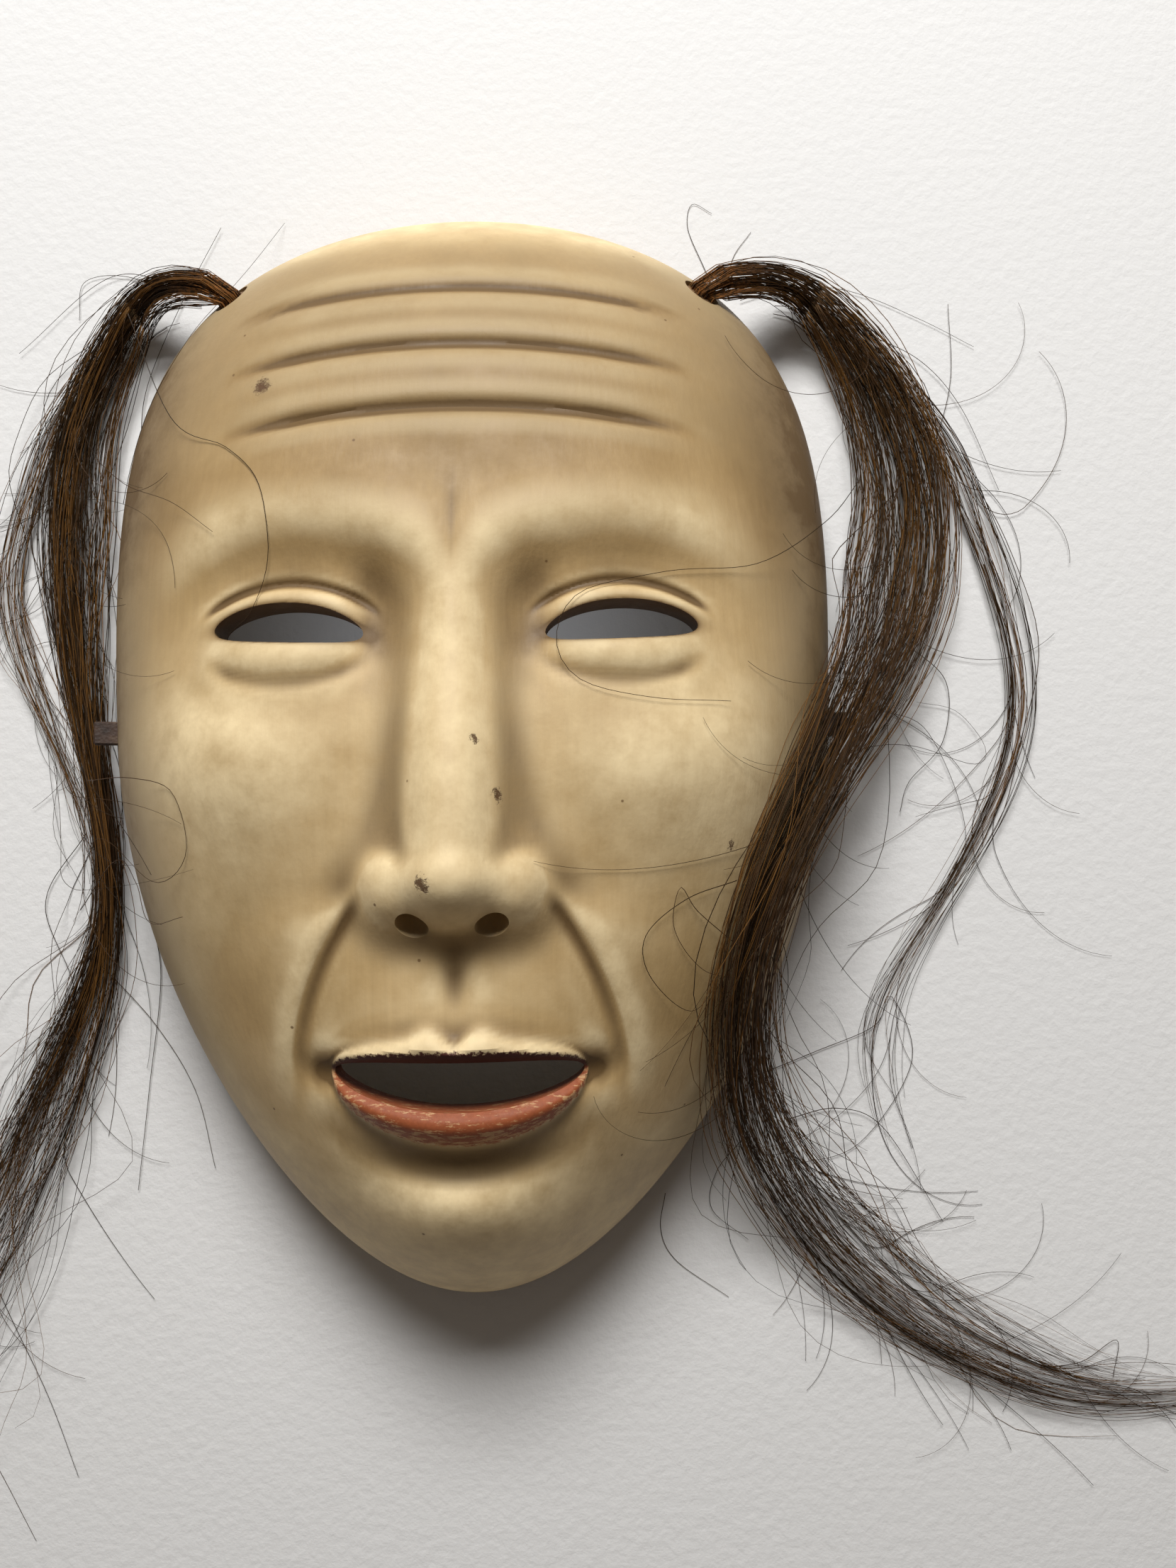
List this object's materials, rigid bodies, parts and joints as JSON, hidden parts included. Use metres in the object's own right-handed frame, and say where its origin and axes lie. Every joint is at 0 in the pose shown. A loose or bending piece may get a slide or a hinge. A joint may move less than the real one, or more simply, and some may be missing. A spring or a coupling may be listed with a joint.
{
  "type": "noh mask",
  "caption": "Carved and painted wooden theatre mask with open eyes, nostrils and mouth, hollow behind, with a tuft of horsehair at each temple.",
  "frame": {"origin": "on the rim that the mask lies on, in the middle of the wall below the chin", "axes": "+Z out of the face, +Y from the chin to the forehead, +X to the right of someone who looks at the face"},
  "size_m": [0.2655, 0.2504, 0.0621],
  "materials": {
    "painted_wood": "satin",
    "bare_wood": "matte",
    "thread": "matte",
    "leather": "satin",
    "horsehair": "satin"
  },
  "bodies": {
    "mask": {"mask_shell": "painted_wood", "hair_root_left": "thread", "hair_root_right": "thread", "peg_left": "bare_wood", "peg_right": "bare_wood", "lace_left": "leather", "lace_right": "leather"},
    "tuft_left": {"tuft_left_main": "horsehair", "tuft_left_outer": "horsehair"},
    "tuft_right": {"tuft_right_main": "horsehair", "tuft_right_outer": "horsehair"}
  },
  "joints": [
    {"name": "tuft_left_swing", "type": "hinge", "parent": "mask", "child": "tuft_left", "pos_m": [-0.04582, 0.18781, 0.01934], "axis": [-0.95, 0.3122, 0], "range_deg": [0, 110]},
    {"name": "tuft_right_swing", "type": "hinge", "parent": "mask", "child": "tuft_right", "pos_m": [0.04582, 0.18781, 0.01934], "axis": [-0.95, -0.3122, 0], "range_deg": [0, 110]}
  ]
}
